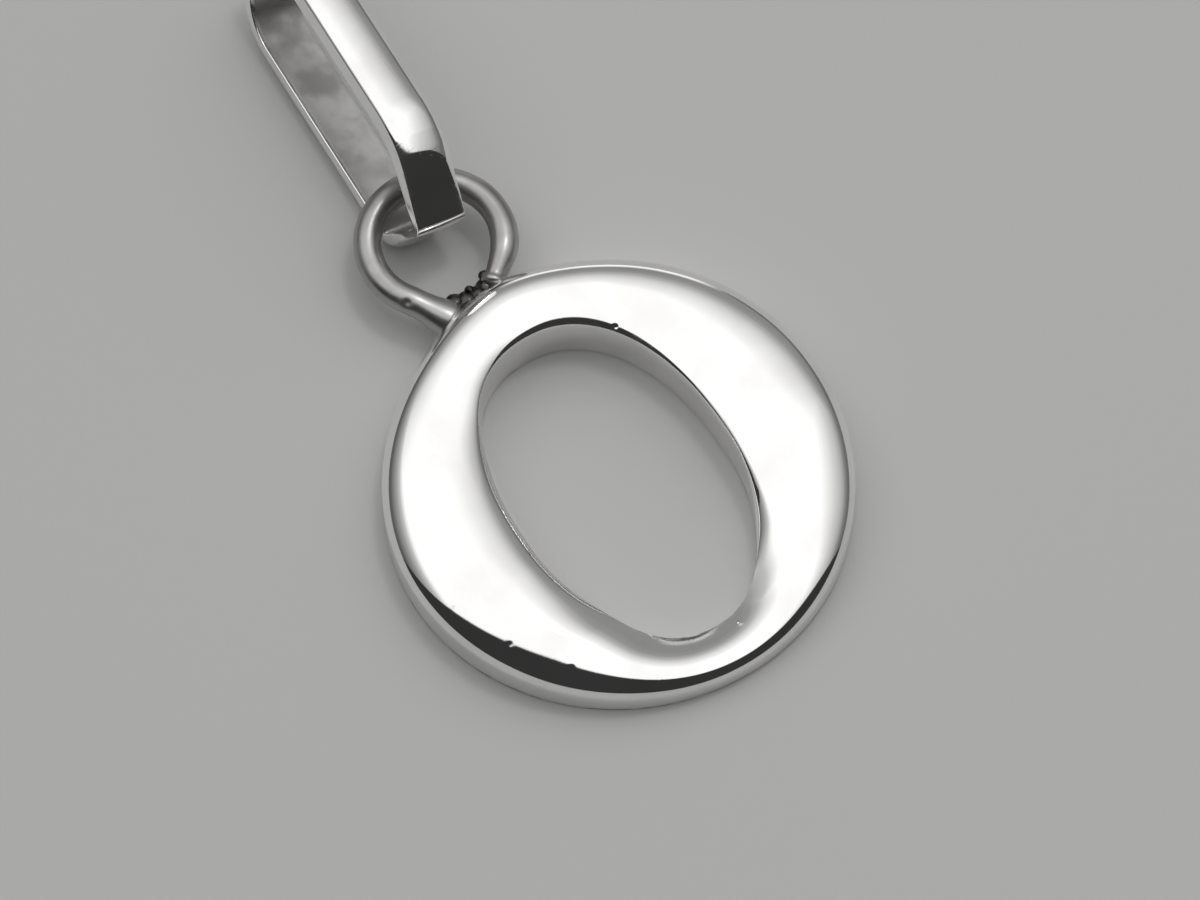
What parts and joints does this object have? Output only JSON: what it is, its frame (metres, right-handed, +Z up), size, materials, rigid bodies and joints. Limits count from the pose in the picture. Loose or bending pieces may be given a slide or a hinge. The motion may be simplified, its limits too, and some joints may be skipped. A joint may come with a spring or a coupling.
{
  "type": "initial pendant",
  "caption": "Small puffed letter O charm with a soldered jump ring and a domed strip bail hooked through it, for a necklace or bracelet chain.",
  "frame": {"origin": "on the resting surface, under the middle of the whole charm's box", "axes": "+Y from the letter's foot to the top of the bail, +Z up from the letter's flat back, +X to the letter's right as seen from its front"},
  "size_m": [0.012, 0.0232, 0.0039],
  "materials": {
    "letter_silver": "mirror polished sterling silver",
    "bail_silver": "polished sterling silver, finely satin inside the loop"
  },
  "bodies": {
    "root": {"letter_o": "letter_silver", "bail": "bail_silver"}
  },
  "joints": []
}
